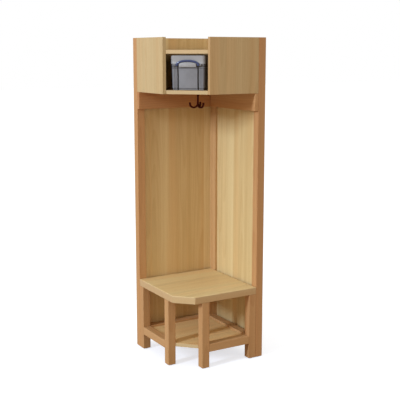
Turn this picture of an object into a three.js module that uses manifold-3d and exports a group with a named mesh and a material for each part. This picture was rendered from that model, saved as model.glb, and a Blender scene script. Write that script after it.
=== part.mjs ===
// A corner cloakroom locker: two framed walls at a right angle, a bench with a shoe shelf,
// hook rails, a triple ceiling hook and a top cabinet with a pull-out storage box.
// Millimetres, +Z up, -Y front. The origin is on the floor, in the middle of the square plan.
// The frame and the boards are laid out in corner coordinates: u is the distance from the
// outside of the side wall, to the left along the back wall, and v is the distance from the
// outside of the back wall, to the front along the side wall. Both walls start at u = v = 0.
import * as THREE from "three";
import { mergeVertices } from "three/addons/utils/BufferGeometryUtils.js";
import Module from "manifold-3d";

const wasm = await Module();
wasm.setup();

// ---------- driving dimensions ----------
const PLAN = 475; // side of the square plan
const HEIGHT = 1600;
const POST = 40; // posts, legs and lower rails are square timber of this section
const GAP = 0.3; // running gap between pieces that touch
const BOARD = 18; // cabinet boards and shoe shelf
const PANEL = 16; // wall panels
const PANEL_FRONT = 28; // front face of a wall panel, measured from the wall's outside
const GROOVE_DEPTH = 8; // how far a wall panel enters its posts
const GLIDE = { radius: 15, height: 3 };

const RAIL_BOTTOM = 81.5; // lower rails, and the bottom edge of the wall panels
const SHELF_TOP = 112.5;
const SEAT_BOTTOM = 335;
const SEAT_THICK = 36;
const SEAT_CORNER = 393.5; // where the seat's cut-off front corner starts on each side
const FRONT_LEG = 353; // outer corner of each front leg, measured from the other wall
const CLEAT = { height: 11.5, width: 20, inset: 4 };
const BRACKET = { leg: 38, width: 25, thick: 2.5, back: 7.5 };

const CABINET_BOTTOM = 1335;
const CABINET_REACH = 313.5; // front end of each cabinet side board
const CABINET_CLEAR = 170; // height of the open compartment
const HOOK_RAIL = { height: 85, thick: 20 };

const CEILING_HOOK = { at: 242, plate: 18, wire: 4.7, stem: 5.3, drop: 73, ball: 5.5 };
const CEILING_HOOK_TURNS = [42, 162, 282]; // directions of the three prongs, in degrees
const HOOK_SCREW = { shaft: 1.4, head: 2.8, headHeight: 1.6, length: 14, ring: 13.8, offset: 60 };
const HOOK_PLATE = 2.8; // thickness of the ceiling hook's plate at its screws

const BOX = { width: 172, depth: 300, height: 163, setback: 15, wall: 2.2, corner: 16 };
const BOX_TAPER = 5; // the tub is this much narrower at its base, on each side
const LID = { skirt: 40, over: 2.2, top: 3 };
const CLIP = { span: 116, rise: 24, bar: 10, thick: 7, pivot: 118, swing: 4.5 };
const CLIP_FOOT = { width: 12, below: 4.5 };
const ARCH_POWER = 2.2; // over 2 makes the clip's arch flatter in the middle, with tighter shoulders
const CLIP_PIN = { radius: 1.8, tip: 48, boss: [58.6, 66], bossHeight: 8 };
const TONGUE = { halfWidth: 42, clear: 1.2, front: -5.5, bottom: 108 };

const BOLT = { shaft: 3, head: 7, headDepth: 4, length: 64, clear: 0.3 };
const BOLT_HEIGHTS = [230, 800, 1180];

const SEAT_TOP_OF_LEG = SEAT_BOTTOM - GAP;
const RAIL_TOP = RAIL_BOTTOM + POST;
const INNER = POST * 2; // inner edge of the legs and rails that stand against a wall
const OUTER = PLAN - POST; // inner edge of the legs and rails at the open sides
const TOP_BOARD = CABINET_BOTTOM + BOARD + CABINET_CLEAR;
const STANDING = GLIDE.height + GAP; // underside of every post and leg

// ---------- materials ----------
const material = (color, roughness, metalness = 0) =>
  new THREE.MeshStandardMaterial({ color, roughness, metalness });
const SOLID_BEECH = () => material(0xbd9a71, 0.55);
const PANEL_BEECH = () => material(0xccb080, 0.5);
const SEAT_BEECH = () => material(0xc8a46c, 0.45);
const STEEL = () => material(0xa8aaad, 0.35, 0.9);
const DARK_METAL = () => material(0x2b1c17, 0.4, 0.6);
const TUB_PLASTIC = () => material(0x9b9b9d, 0.35);
const LID_PLASTIC = () => material(0xc3c4c8, 0.4);
const CLIP_PLASTIC = () => material(0x3a4468, 0.4);
const GLIDE_PLASTIC = () => material(0x2e2c2a, 0.6);

// ---------- scene graph ----------
const locker = new THREE.Group();
// Inside this group x is u and y is v.
const corner = new THREE.Group();
corner.position.set(PLAN / 2, PLAN / 2, 0);
corner.rotation.z = Math.PI;
locker.add(corner);

// Where the ceiling hook's screws stand, measured from the hook's axis.
const hookScrews = CEILING_HOOK_TURNS.map((turn) => {
  const angle = THREE.MathUtils.degToRad(turn + HOOK_SCREW.offset);
  return [HOOK_SCREW.ring * Math.cos(angle), HOOK_SCREW.ring * Math.sin(angle)];
});

function addMesh(group, name, geometry, paint) {
  const mesh = new THREE.Mesh(geometry, paint);
  mesh.name = name;
  group.add(mesh);
  return mesh;
}

// ---------- geometry helpers ----------
// A box between two corners, given as [low, high] along x, y and z.
function boxGeometry([x0, x1], [y0, y1], [z0, z1]) {
  const geometry = new THREE.BoxGeometry(x1 - x0, y1 - y0, z1 - z0);
  return geometry.translate((x0 + x1) / 2, (y0 + y1) / 2, (z0 + z1) / 2);
}

// A flat board of the given outline between two heights.
function boardGeometry(outline, [z0, z1]) {
  const shape = new THREE.Shape(outline.map(([x, y]) => new THREE.Vector2(x, y)));
  const geometry = new THREE.ExtrudeGeometry(shape, { depth: z1 - z0, bevelEnabled: false });
  return geometry.translate(0, 0, z0);
}

// A cylinder of the given radius from a start point along +z, +x or +y.
function rodGeometry(radius, length, [x, y, z], along = "z", sides = 20) {
  const geometry = new THREE.CylinderGeometry(radius, radius, length, sides);
  geometry.translate(0, length / 2, 0);
  if (along === "z") geometry.rotateX(Math.PI / 2);
  if (along === "x") geometry.rotateZ(-Math.PI / 2);
  return geometry.translate(x, y, z);
}

// A round wire along a smooth curve through the given points.
function wireGeometry(radius, points, steps = 14, sides = 8) {
  const section = new THREE.Shape();
  section.absarc(0, 0, radius, 0, Math.PI * 2);
  return new THREE.ExtrudeGeometry(section, {
    steps,
    curveSegments: sides,
    extrudePath: new THREE.CatmullRomCurve3(points),
  });
}

// The outline of a rectangle with rounded corners, centred on x = 0 and y = middle.
function roundedOutline(width, depth, radius, middle, perCorner = 4) {
  const points = [];
  for (let k = 0; k < 4; k++) {
    const sx = k === 0 || k === 3 ? 1 : -1;
    const sy = k < 2 ? 1 : -1;
    for (let i = 0; i <= perCorner; i++) {
      const angle = ((k + i / perCorner) * Math.PI) / 2;
      points.push([
        sx * (width / 2 - radius) + radius * Math.cos(angle),
        middle + sy * (depth / 2 - radius) + radius * Math.sin(angle),
      ]);
    }
  }
  return points;
}

// A closed solid through outlines at rising heights. Every outline is convex and has as many points.
function loftGeometry(levels, middle) {
  const count = levels[0].outline.length;
  const vertices = levels.flatMap(({ outline, z }) => outline.map(([x, y]) => [x, y, z]));
  const last = levels.length - 1;
  const low = vertices.push([0, middle, levels[0].z]) - 1;
  const high = vertices.push([0, middle, levels[last].z]) - 1;
  const faces = [];
  for (let i = 0; i < count; i++) {
    const j = (i + 1) % count;
    faces.push(low, j, i, high, last * count + i, last * count + j);
    for (let k = 0; k < last; k++) {
      const [a, b, c, d] = [k * count + i, k * count + j, (k + 1) * count + j, (k + 1) * count + i];
      faces.push(a, b, c, a, c, d);
    }
  }
  const geometry = new THREE.BufferGeometry();
  geometry.setAttribute("position", new THREE.Float32BufferAttribute(vertices.flat(), 3));
  geometry.setIndex(faces);
  return geometry;
}

function toSolid(geometry) {
  const bare = geometry.clone();
  bare.deleteAttribute("normal");
  bare.deleteAttribute("uv");
  const merged = mergeVertices(bare, 1e-4);
  return new wasm.Manifold(
    new wasm.Mesh({
      numProp: 3,
      vertProperties: merged.attributes.position.array,
      triVerts: new Uint32Array(merged.index.array),
    }),
  );
}

function toGeometry(solid) {
  const mesh = solid.getMesh();
  const geometry = new THREE.BufferGeometry();
  geometry.setAttribute("position", new THREE.BufferAttribute(mesh.vertProperties, 3));
  geometry.setIndex(new THREE.BufferAttribute(mesh.triVerts, 1));
  return geometry;
}

// The first geometry, joined with the added ones and cut by the removed ones.
function combine(first, added, removed = []) {
  let solid = toSolid(first);
  for (const geometry of added) solid = solid.add(toSolid(geometry));
  for (const geometry of removed) solid = solid.subtract(toSolid(geometry));
  return toGeometry(solid);
}

// ---------- bolts that join the walls to each other and to the bench ----------
// Each runs along +u or +v from the outside of a wall, through one post into the next.
const bolts = [
  ...BOLT_HEIGHTS.map((z, i) => ({ name: `wall_bolt_${i + 1}`, along: "y", side: POST / 2, z })),
  { name: "bench_bolt_back", along: "y", side: PLAN - POST / 2, z: BOLT_HEIGHTS[0] },
  { name: "bench_bolt_side", along: "x", side: PLAN - POST / 2, z: BOLT_HEIGHTS[0] },
];

function boltSolids({ along, side, z }, extra) {
  const start = along === "y" ? [side, -extra, z] : [-extra, side, z];
  return [
    rodGeometry(BOLT.shaft + extra, BOLT.length + 2 * extra, start, along),
    rodGeometry(BOLT.head + extra, BOLT.headDepth + 2 * extra, start, along, 24),
  ];
}

function addBolts() {
  for (const bolt of bolts) {
    const [shaft, head] = boltSolids(bolt, 0);
    const mesh = addMesh(corner, bolt.name, combine(head, [shaft]), STEEL());
    mesh.position[bolt.along] = BOLT.clear;
  }
}

// ---------- walls ----------
// A post or leg between two heights, cut by its panel groove and by the bolts that cross it.
function addPost(name, [u0, u1], [v0, v1], [z0, z1], groove = null) {
  const cuts = groove ? [groove] : [];
  for (const bolt of bolts) {
    const crosses = bolt.along === "y" ? bolt.side > u0 && bolt.side < u1 : bolt.side > v0 && bolt.side < v1;
    const near = bolt.along === "y" ? v0 : u0;
    if (crosses && near < BOLT.length && bolt.z < z1) cuts.push(...boltSolids(bolt, BOLT.clear * 2));
  }
  const solid = boxGeometry([u0, u1], [v0, v1], [z0, z1]);
  addMesh(corner, name, cuts.length ? combine(solid, [], cuts) : solid, SOLID_BEECH());
}

function addWalls() {
  const full = [STANDING, HEIGHT];
  const across = [PANEL_FRONT - PANEL - GAP, PANEL_FRONT + GAP];
  const upright = [RAIL_BOTTOM - GAP, HEIGHT + 1];
  const grooveAt = (low, high) => [
    boxGeometry([low, high], across, upright),
    boxGeometry(across, [low, high], upright),
  ];
  const [backCorner] = grooveAt(POST - GROOVE_DEPTH, POST + 1);
  const [backEnd, sideFront] = grooveAt(OUTER - 1, OUTER + GROOVE_DEPTH);
  const [, sideRear] = grooveAt(INNER - GROOVE_DEPTH, INNER + 1);
  addPost("back_wall_corner_post", [0, POST], [0, POST - GAP], full, backCorner);
  addPost("back_wall_end_post", [OUTER, PLAN], [0, POST], full, backEnd);
  addPost("side_wall_rear_post", [0, POST], [POST, INNER], full, sideRear);
  addPost("side_wall_front_post", [0, POST], [OUTER, PLAN], full, sideFront);

  const thick = [PANEL_FRONT - PANEL, PANEL_FRONT];
  const tongue = GROOVE_DEPTH - GAP;
  const height = [RAIL_BOTTOM, HEIGHT];
  const backSpan = [POST - tongue, OUTER + tongue];
  const sideSpan = [INNER - tongue, OUTER + tongue];
  addMesh(corner, "back_wall_panel", boxGeometry(backSpan, thick, height), PANEL_BEECH());
  addMesh(corner, "side_wall_panel", boxGeometry(thick, sideSpan, height), PANEL_BEECH());
}

// ---------- bench ----------
const FRONT_SPAN = [FRONT_LEG - POST, FRONT_LEG];
const AT_WALL = [POST + GAP, INNER];
const AT_OPEN = [OUTER, PLAN];
const LEGS = {
  back_left: [AT_OPEN, AT_WALL],
  front_left: [AT_OPEN, FRONT_SPAN],
  front_right: [FRONT_SPAN, AT_OPEN],
  side_right: [AT_WALL, AT_OPEN],
  corner: [AT_WALL, AT_WALL],
};

function addBench() {
  for (const [name, [u, v]] of Object.entries(LEGS)) {
    addPost(`bench_leg_${name}`, u, v, [STANDING, SEAT_TOP_OF_LEG]);
  }
  const railHeight = [RAIL_BOTTOM, RAIL_TOP];
  const open = [INNER + GAP, FRONT_LEG - POST - GAP];
  const closed = [INNER + GAP, OUTER - GAP];
  addMesh(corner, "lower_rail_left", boxGeometry(AT_OPEN, open, railHeight), SOLID_BEECH());
  addMesh(corner, "lower_rail_right", boxGeometry(open, AT_OPEN, railHeight), SOLID_BEECH());
  addMesh(corner, "lower_rail_back", boxGeometry(closed, AT_WALL, railHeight), SOLID_BEECH());
  addMesh(corner, "lower_rail_side", boxGeometry(AT_WALL, closed, railHeight), SOLID_BEECH());

  const near = INNER + GAP;
  const far = OUTER - GAP;
  const shelf = [
    [near, near],
    [far, near],
    [far, FRONT_LEG + GAP],
    [FRONT_LEG + GAP, far],
    [near, far],
  ];
  const shelfHeight = [SHELF_TOP - BOARD, SHELF_TOP];
  addMesh(corner, "shoe_shelf", boardGeometry(shelf, shelfHeight), PANEL_BEECH());

  const wall = POST + GAP;
  const seat = [
    [wall, wall],
    [PLAN, wall],
    [PLAN, SEAT_CORNER],
    [SEAT_CORNER, PLAN],
    [wall, PLAN],
  ];
  const seatHeight = [SEAT_BOTTOM, SEAT_BOTTOM + SEAT_THICK];
  addMesh(corner, "seat_board", boardGeometry(seat, seatHeight), SEAT_BEECH());
}

// Battens on the inside of the lower rails that carry the shoe shelf.
function addCleats() {
  const top = SHELF_TOP - BOARD - GAP;
  const height = [top - CLEAT.height, top];
  const nearBand = [INNER + GAP, INNER + GAP + CLEAT.width];
  const farBand = [OUTER - GAP - CLEAT.width, OUTER - GAP];
  const short = [nearBand[1] + CLEAT.inset, FRONT_LEG - POST - CLEAT.inset];
  const long = [nearBand[1] + CLEAT.inset, farBand[0] - CLEAT.inset];
  addMesh(corner, "shelf_cleat_left", boxGeometry(farBand, short, height), SOLID_BEECH());
  addMesh(corner, "shelf_cleat_right", boxGeometry(short, farBand, height), SOLID_BEECH());
  addMesh(corner, "shelf_cleat_back", boxGeometry(long, nearBand, height), SOLID_BEECH());
  addMesh(corner, "shelf_cleat_side", boxGeometry(nearBand, long, height), SOLID_BEECH());
}

// Steel angles that hold the seat on its legs, each on the hidden inner face of a leg.
function addBrackets() {
  const top = SEAT_BOTTOM - GAP;
  const { leg, width, thick, back } = BRACKET;
  // The angle's outline: x points away from the leg's face, y is the height.
  const angle = [
    [0, 0],
    [leg, 0],
    [leg, -thick],
    [thick, -thick],
    [thick, -leg],
    [0, -leg],
  ].reverse();
  const shape = new THREE.Shape(angle.map(([x, y]) => new THREE.Vector2(x, y)));
  const places = {
    back_left: { at: [OUTER - GAP, POST + back], turn: Math.PI },
    front_left: { at: [OUTER - GAP, FRONT_SPAN[0] + back], turn: Math.PI },
    front_right: { at: [FRONT_SPAN[0] + back, OUTER - GAP], turn: -Math.PI / 2 },
    side_right: { at: [POST + back, OUTER - GAP], turn: -Math.PI / 2 },
    corner: { at: [INNER + GAP, POST + back], turn: 0 },
  };
  for (const [name, { at, turn }] of Object.entries(places)) {
    const geometry = new THREE.ExtrudeGeometry(shape, { depth: width, bevelEnabled: false });
    // Stand the outline up, centre it on its width, and turn it to face away from the leg.
    geometry.rotateX(Math.PI / 2).translate(0, width / 2, 0).rotateZ(turn);
    const along = turn === -Math.PI / 2 ? [at[0] + width / 2, at[1]] : [at[0], at[1] + width / 2];
    addMesh(corner, `seat_bracket_${name}`, geometry.translate(...along, top), STEEL());
  }
}

function addGlides() {
  const middle = ([low, high]) => (low + high) / 2;
  const ends = { near: [0, POST], next: [POST, INNER], far: [OUTER, PLAN] };
  const feet = {
    ...LEGS,
    back_wall_corner: [ends.near, ends.near],
    back_wall_end: [ends.far, ends.near],
    side_wall_rear: [ends.near, ends.next],
    side_wall_front: [ends.near, ends.far],
  };
  for (const [name, [u, v]] of Object.entries(feet)) {
    const disc = rodGeometry(GLIDE.radius, GLIDE.height, [middle(u), middle(v), 0], "z", 24);
    addMesh(corner, `glide_${name}`, disc, GLIDE_PLASTIC());
  }
}

// ---------- top cabinet and hook rails ----------
function addCabinet() {
  const wall = POST + GAP;
  const sideBand = [PLAN - BOARD, PLAN];
  const reach = [wall, CABINET_REACH];
  const sides = [CABINET_BOTTOM, HEIGHT];
  addMesh(corner, "cabinet_side_left", boxGeometry(sideBand, reach, sides), PANEL_BEECH());
  addMesh(corner, "cabinet_side_right", boxGeometry(reach, sideBand, sides), PANEL_BEECH());

  const inner = PLAN - BOARD - GAP;
  const level = [
    [wall, wall],
    [inner, wall],
    [inner, CABINET_REACH],
    [CABINET_REACH, inner],
    [wall, inner],
  ];
  const { at } = CEILING_HOOK;
  const holes = hookScrews.map(([x, y]) =>
    rodGeometry(HOOK_SCREW.shaft + GAP, HOOK_SCREW.length - 2, [at - x, at - y, CABINET_BOTTOM - 1], "z", 12),
  );
  const bottom = boardGeometry(level, [CABINET_BOTTOM, CABINET_BOTTOM + BOARD]);
  const top = boardGeometry(level, [TOP_BOARD, TOP_BOARD + BOARD]);
  addMesh(corner, "cabinet_bottom", combine(bottom, [], holes), PANEL_BEECH());
  addMesh(corner, "cabinet_top", top, PANEL_BEECH());

  const front = POST + HOOK_RAIL.thick;
  const height = [CABINET_BOTTOM - HOOK_RAIL.height, CABINET_BOTTOM - GAP];
  addMesh(corner, "hook_rail_back", boxGeometry([front + GAP, PLAN], [wall, front], height), SOLID_BEECH());
  addMesh(corner, "hook_rail_side", boxGeometry([wall, front], [wall, PLAN], height), SOLID_BEECH());
}

// ---------- triple ceiling hook ----------
function addCeilingHook() {
  const { at, plate, wire, stem, drop, ball } = CEILING_HOOK;
  const hook = new THREE.Group();
  hook.position.set(PLAN / 2 - at, PLAN / 2 - at, CABINET_BOTTOM - GAP);
  locker.add(hook);

  const bore = stem + GAP;
  const base = [
    [bore, 0],
    [bore, -13],
    [stem + 3, -13],
    [stem + 4, -7],
    [stem + 5.5, -HOOK_PLATE],
    [plate - 0.8, -HOOK_PLATE],
    [plate, 1 - HOOK_PLATE],
    [plate, 0],
    [bore, 0],
  ].map(([r, z]) => new THREE.Vector2(r, z));
  const ring = new THREE.LatheGeometry(base, 24).rotateX(Math.PI / 2);
  const { shaft: screwShaft, head, headHeight, length } = HOOK_SCREW;
  const holes = hookScrews.map(([x, y]) =>
    rodGeometry(screwShaft + GAP, HOOK_PLATE + 2, [x, y, -HOOK_PLATE - 1], "z", 12),
  );
  addMesh(hook, "ceiling_hook_base", combine(ring, [], holes), DARK_METAL());
  hookScrews.forEach(([x, y], i) => {
    const start = [x, y, -HOOK_PLATE - GAP - headHeight];
    const screw = combine(rodGeometry(head, headHeight, start, "z", 16), [
      rodGeometry(screwShaft, length, start, "z", 12),
    ]);
    addMesh(hook, `hook_screw_${i + 1}`, screw, STEEL());
  });

  // One prong, from the stem down to its low point and out and up to its ball.
  const prong = [
    [0, 16],
    [5, 8],
    [13.5, 2],
    [23, 0],
    [33.5, 4.5],
    [39, 13],
    [40.4, 20.5],
  ];
  const pieces = CEILING_HOOK_TURNS.flatMap((turn) => {
    const place = ([r, z]) => {
      const angle = THREE.MathUtils.degToRad(turn);
      return new THREE.Vector3(r * Math.cos(angle), r * Math.sin(angle), z - drop);
    };
    const tip = place(prong[prong.length - 1]);
    const knob = new THREE.SphereGeometry(ball, 12, 8).translate(tip.x, tip.y, tip.z);
    return [wireGeometry(wire, prong.map(place)), knob];
  });
  const shaft = rodGeometry(stem, drop - 15, [0, 0, 15 - drop - 1], "z", 16);
  addMesh(hook, "ceiling_hook", combine(shaft, pieces), DARK_METAL());
}

// ---------- storage box ----------
// The box stands on the cabinet bottom and faces the open corner. In its group x is across,
// -y is out of the cabinet, z is up from the cabinet bottom, and y = 0 is the lid's front.
const FRONT_LINE = (PLAN - BOARD + CABINET_REACH) / 2; // u and v at the middle of the cabinet's front
const boxFront = PLAN / 2 - FRONT_LINE + BOX.setback * Math.SQRT1_2;
const crate = new THREE.Group();
crate.position.set(boxFront, boxFront, CABINET_BOTTOM + BOARD + GAP);
crate.rotation.z = -Math.PI / 4;
locker.add(crate);

const MIDDLE = BOX.depth / 2;
const TUB_TOP = BOX.height - LID.top - GAP;
const SKIRT_BOTTOM = BOX.height - LID.skirt;

function boxLevel(inset, z) {
  const radius = Math.max(BOX.corner - inset, 3);
  return { outline: roundedOutline(BOX.width - 2 * inset, BOX.depth - 2 * inset, radius, MIDDLE), z };
}

function addTub() {
  const rim = LID.over + GAP; // the tub's outside under the lid's skirt
  const base = rim + BOX_TAPER;
  const outside = loftGeometry([boxLevel(base, 0), boxLevel(rim, TUB_TOP)], MIDDLE);
  const inside = loftGeometry(
    [boxLevel(base + BOX.wall, BOX.wall), boxLevel(rim + BOX.wall, TUB_TOP + 1)],
    MIDDLE,
  );
  // At each end a pair of bosses stands outside the clip's feet and carries its hinge pins.
  const { radius, tip, boss, bossHeight } = CLIP_PIN;
  const reach = CLIP.swing + CLIP.thick / 2;
  const height = [CLIP.pivot - bossHeight / 2, CLIP.pivot + bossHeight / 2];
  const hinges = [];
  for (const [face, axis] of [
    [[-reach, reach], -CLIP.swing],
    [[BOX.depth - reach, BOX.depth + reach], BOX.depth + CLIP.swing],
  ]) {
    for (const side of [-1, 1]) {
      const span = boss.map((x) => side * x).sort((a, b) => a - b);
      const pinStart = side > 0 ? tip : -boss[1];
      hinges.push(boxGeometry(span, face, height));
      hinges.push(rodGeometry(radius, boss[1] - tip, [pinStart, axis, CLIP.pivot], "x", 12));
    }
  }
  addMesh(crate, "box_tub", combine(outside, hinges, [inside]), TUB_PLASTIC());
}

function addLid() {
  const outside = loftGeometry([boxLevel(0, SKIRT_BOTTOM), boxLevel(0, BOX.height)], MIDDLE);
  const hollow = LID.over;
  const inside = loftGeometry(
    [boxLevel(hollow, SKIRT_BOTTOM - 1), boxLevel(hollow, BOX.height - LID.top)],
    MIDDLE,
  );
  const tongues = [tongueGeometry(), tongueGeometry().rotateZ(Math.PI).translate(0, BOX.depth, 0)];
  addMesh(crate, "box_lid", combine(outside, tongues, [inside]), LID_PLASTIC());
}

// Points along a flattened arch from right to left, out to a given reach on each side of its middle.
function archPoints(half, rise, reach, steps) {
  return Array.from({ length: steps + 1 }, (_, i) => {
    const x = reach * Math.cos((Math.PI * i) / steps);
    return [x, rise * Math.sqrt(1 - Math.abs(x / half) ** ARCH_POWER)];
  });
}

// The lid's lug that fills the clip's arch, with a flat bottom and an arched top.
function tongueGeometry() {
  const half = CLIP.span / 2 - CLIP_FOOT.width - TONGUE.clear;
  const rise = CLIP.rise - CLIP.bar - TONGUE.clear;
  const top = archPoints(half, rise, TONGUE.halfWidth, 14);
  const outline = [
    [-TONGUE.halfWidth, TONGUE.bottom],
    [TONGUE.halfWidth, TONGUE.bottom],
    ...top.map(([x, z]) => [x, CLIP.pivot + z]),
  ];
  const shape = new THREE.Shape(outline.map(([x, z]) => new THREE.Vector2(x, z)));
  const depth = LID.over - TONGUE.front;
  const geometry = new THREE.ExtrudeGeometry(shape, { depth, bevelEnabled: false });
  return geometry.rotateX(Math.PI / 2).translate(0, LID.over, 0);
}

// An arched clip that turns about a level axis at its lower ends and closes over the lid's skirt.
function clipGeometry() {
  const half = CLIP.span / 2;
  const foot = half - CLIP_FOOT.width;
  const outer = archPoints(half, CLIP.rise, half, 22);
  const inner = archPoints(foot, CLIP.rise - CLIP.bar, foot, 18);
  const outline = [
    [half, -CLIP_FOOT.below],
    ...outer,
    [-half, -CLIP_FOOT.below],
    [-foot, -CLIP_FOOT.below],
    ...inner.reverse(),
    [foot, -CLIP_FOOT.below],
  ];
  const shape = new THREE.Shape(outline.map(([x, z]) => new THREE.Vector2(x, z)));
  const geometry = new THREE.ExtrudeGeometry(shape, { depth: CLIP.thick, bevelEnabled: false });
  geometry.rotateX(Math.PI / 2).translate(0, CLIP.thick / 2, 0);
  const bore = rodGeometry(CLIP_PIN.radius + GAP, CLIP.span + 2, [-half - 1, 0, 0], "x", 16);
  return combine(geometry, [], [bore]);
}

function addClips() {
  for (const [name, y, turn] of [
    ["box_clip_front", -CLIP.swing, 0],
    ["box_clip_rear", BOX.depth + CLIP.swing, Math.PI],
  ]) {
    const clip = addMesh(crate, name, clipGeometry(), CLIP_PLASTIC());
    clip.position.set(0, y, CLIP.pivot);
    clip.rotation.z = turn;
  }
}

addWalls();
addBench();
addCleats();
addBrackets();
addGlides();
addBolts();
addCabinet();
addCeilingHook();
addTub();
addLid();
addClips();

export default locker;
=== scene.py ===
"""Looks for the corner cloakroom locker: lacquered beech boards, a bronze triple hook and a clip-lid box.

Metres, in the CAD frame: +Z up, the two walls stand at +Y and +X, and the open corner faces -X -Y.
"""

import math
import random

import bmesh
import bpy
from mathutils import Matrix, Vector


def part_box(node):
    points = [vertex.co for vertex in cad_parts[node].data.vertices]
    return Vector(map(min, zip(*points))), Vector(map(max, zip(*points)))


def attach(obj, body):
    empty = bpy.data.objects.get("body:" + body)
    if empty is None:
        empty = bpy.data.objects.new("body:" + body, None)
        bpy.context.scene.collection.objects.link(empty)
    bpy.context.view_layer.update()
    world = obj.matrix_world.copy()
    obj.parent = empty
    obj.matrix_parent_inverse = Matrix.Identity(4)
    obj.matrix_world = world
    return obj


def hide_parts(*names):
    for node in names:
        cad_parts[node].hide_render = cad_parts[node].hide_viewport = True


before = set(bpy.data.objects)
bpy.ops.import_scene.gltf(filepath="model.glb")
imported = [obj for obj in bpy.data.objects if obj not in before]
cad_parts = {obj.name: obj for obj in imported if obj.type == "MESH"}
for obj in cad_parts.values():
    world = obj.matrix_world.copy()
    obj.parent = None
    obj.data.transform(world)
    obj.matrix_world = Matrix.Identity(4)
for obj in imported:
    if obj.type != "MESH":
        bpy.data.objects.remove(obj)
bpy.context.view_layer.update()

MM = 0.001
DOWN_DIAGONAL = -math.pi / 4  # the storage box looks out along -X -Y


# ---------------------------------------------------------------- shader helpers
class Shader:
    """A material and short ways to add nodes to it."""

    def __init__(self, name):
        self.material = bpy.data.materials.new(name)
        self.material.use_nodes = True
        self.tree = self.material.node_tree
        self.surface = self.tree.nodes["Principled BSDF"]

    def put(self, socket, value):
        if isinstance(value, bpy.types.NodeSocket):
            self.tree.links.new(value, socket)
        else:
            socket.default_value = value

    def node(self, kind, inputs, output=0, **settings):
        node = self.tree.nodes.new(kind)
        for key, value in settings.items():
            setattr(node, key, value)
        for key, value in inputs.items():
            self.put(node.inputs[key], value)
        return node.outputs[output]

    def math(self, operation, a, b=0.0, clamp=False):
        return self.node("ShaderNodeMath", {0: a, 1: b}, operation=operation, use_clamp=clamp)

    def scaled(self, vector, factors):
        return self.node("ShaderNodeVectorMath", {0: vector, 1: factors}, operation="MULTIPLY")

    def shifted(self, vector, offset):
        return self.node("ShaderNodeVectorMath", {0: vector, 1: offset}, operation="ADD")

    def noise(self, vector, detail=2.0, roughness=0.5, scale=1.0):
        inputs = {"Vector": vector, "Scale": scale, "Detail": detail, "Roughness": roughness}
        return self.node("ShaderNodeTexNoise", inputs)

    def step(self, factor, low, high):
        """0 below low, 1 above high, smooth between."""
        inputs = {"Value": factor, "From Min": low, "From Max": high}
        return self.node("ShaderNodeMapRange", inputs, interpolation_type="SMOOTHSTEP")

    def between(self, factor, low, high):
        """Spreads a factor of 0 to 1 over the range from low to high."""
        return self.node("ShaderNodeMapRange", {"Value": factor, "To Min": low, "To Max": high})

    def mix(self, factor, a, b, blend="MIX"):
        node = self.tree.nodes.new("ShaderNodeMix")
        node.data_type = "RGBA"
        node.blend_type = blend
        self.put(node.inputs[0], factor)
        self.put(node.inputs[6], a if isinstance(a, bpy.types.NodeSocket) else (*a, 1.0))
        self.put(node.inputs[7], b if isinstance(b, bpy.types.NodeSocket) else (*b, 1.0))
        return node.outputs[2]

    def bump(self, height, distance, strength=1.0):
        inputs = {"Height": height, "Distance": distance, "Strength": strength}
        return self.node("ShaderNodeBump", inputs)

    def finish(self, **inputs):
        for key, value in inputs.items():
            self.put(self.surface.inputs[key.replace("_", " ")], value)
        return self.material


def srgb(red, green, blue):
    """A display colour of 0 to 255 as linear light."""

    def linear(c):
        c /= 255
        return c / 12.92 if c <= 0.04045 else ((c + 0.055) / 1.055) ** 2.4

    return (linear(red), linear(green), linear(blue))


# ---------------------------------------------------------------- materials
# Wood reads the attribute "grain": metres along the grain, across the board and through it.
TONE_AND_SHADE_SHIFT = (-0.12, -0.34, -0.44)  # how a tone value of 1 changes red, green and blue
RING_STEP = 0.0052  # metres between growth rings
PITH_DEPTH = 0.045  # how far the rings' centre lies below the face
GLUE_LINE = 0.0006  # width of the line between two staves
STAVE_JUMP = 0.37  # how far the pattern moves along from one stave to the next


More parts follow.
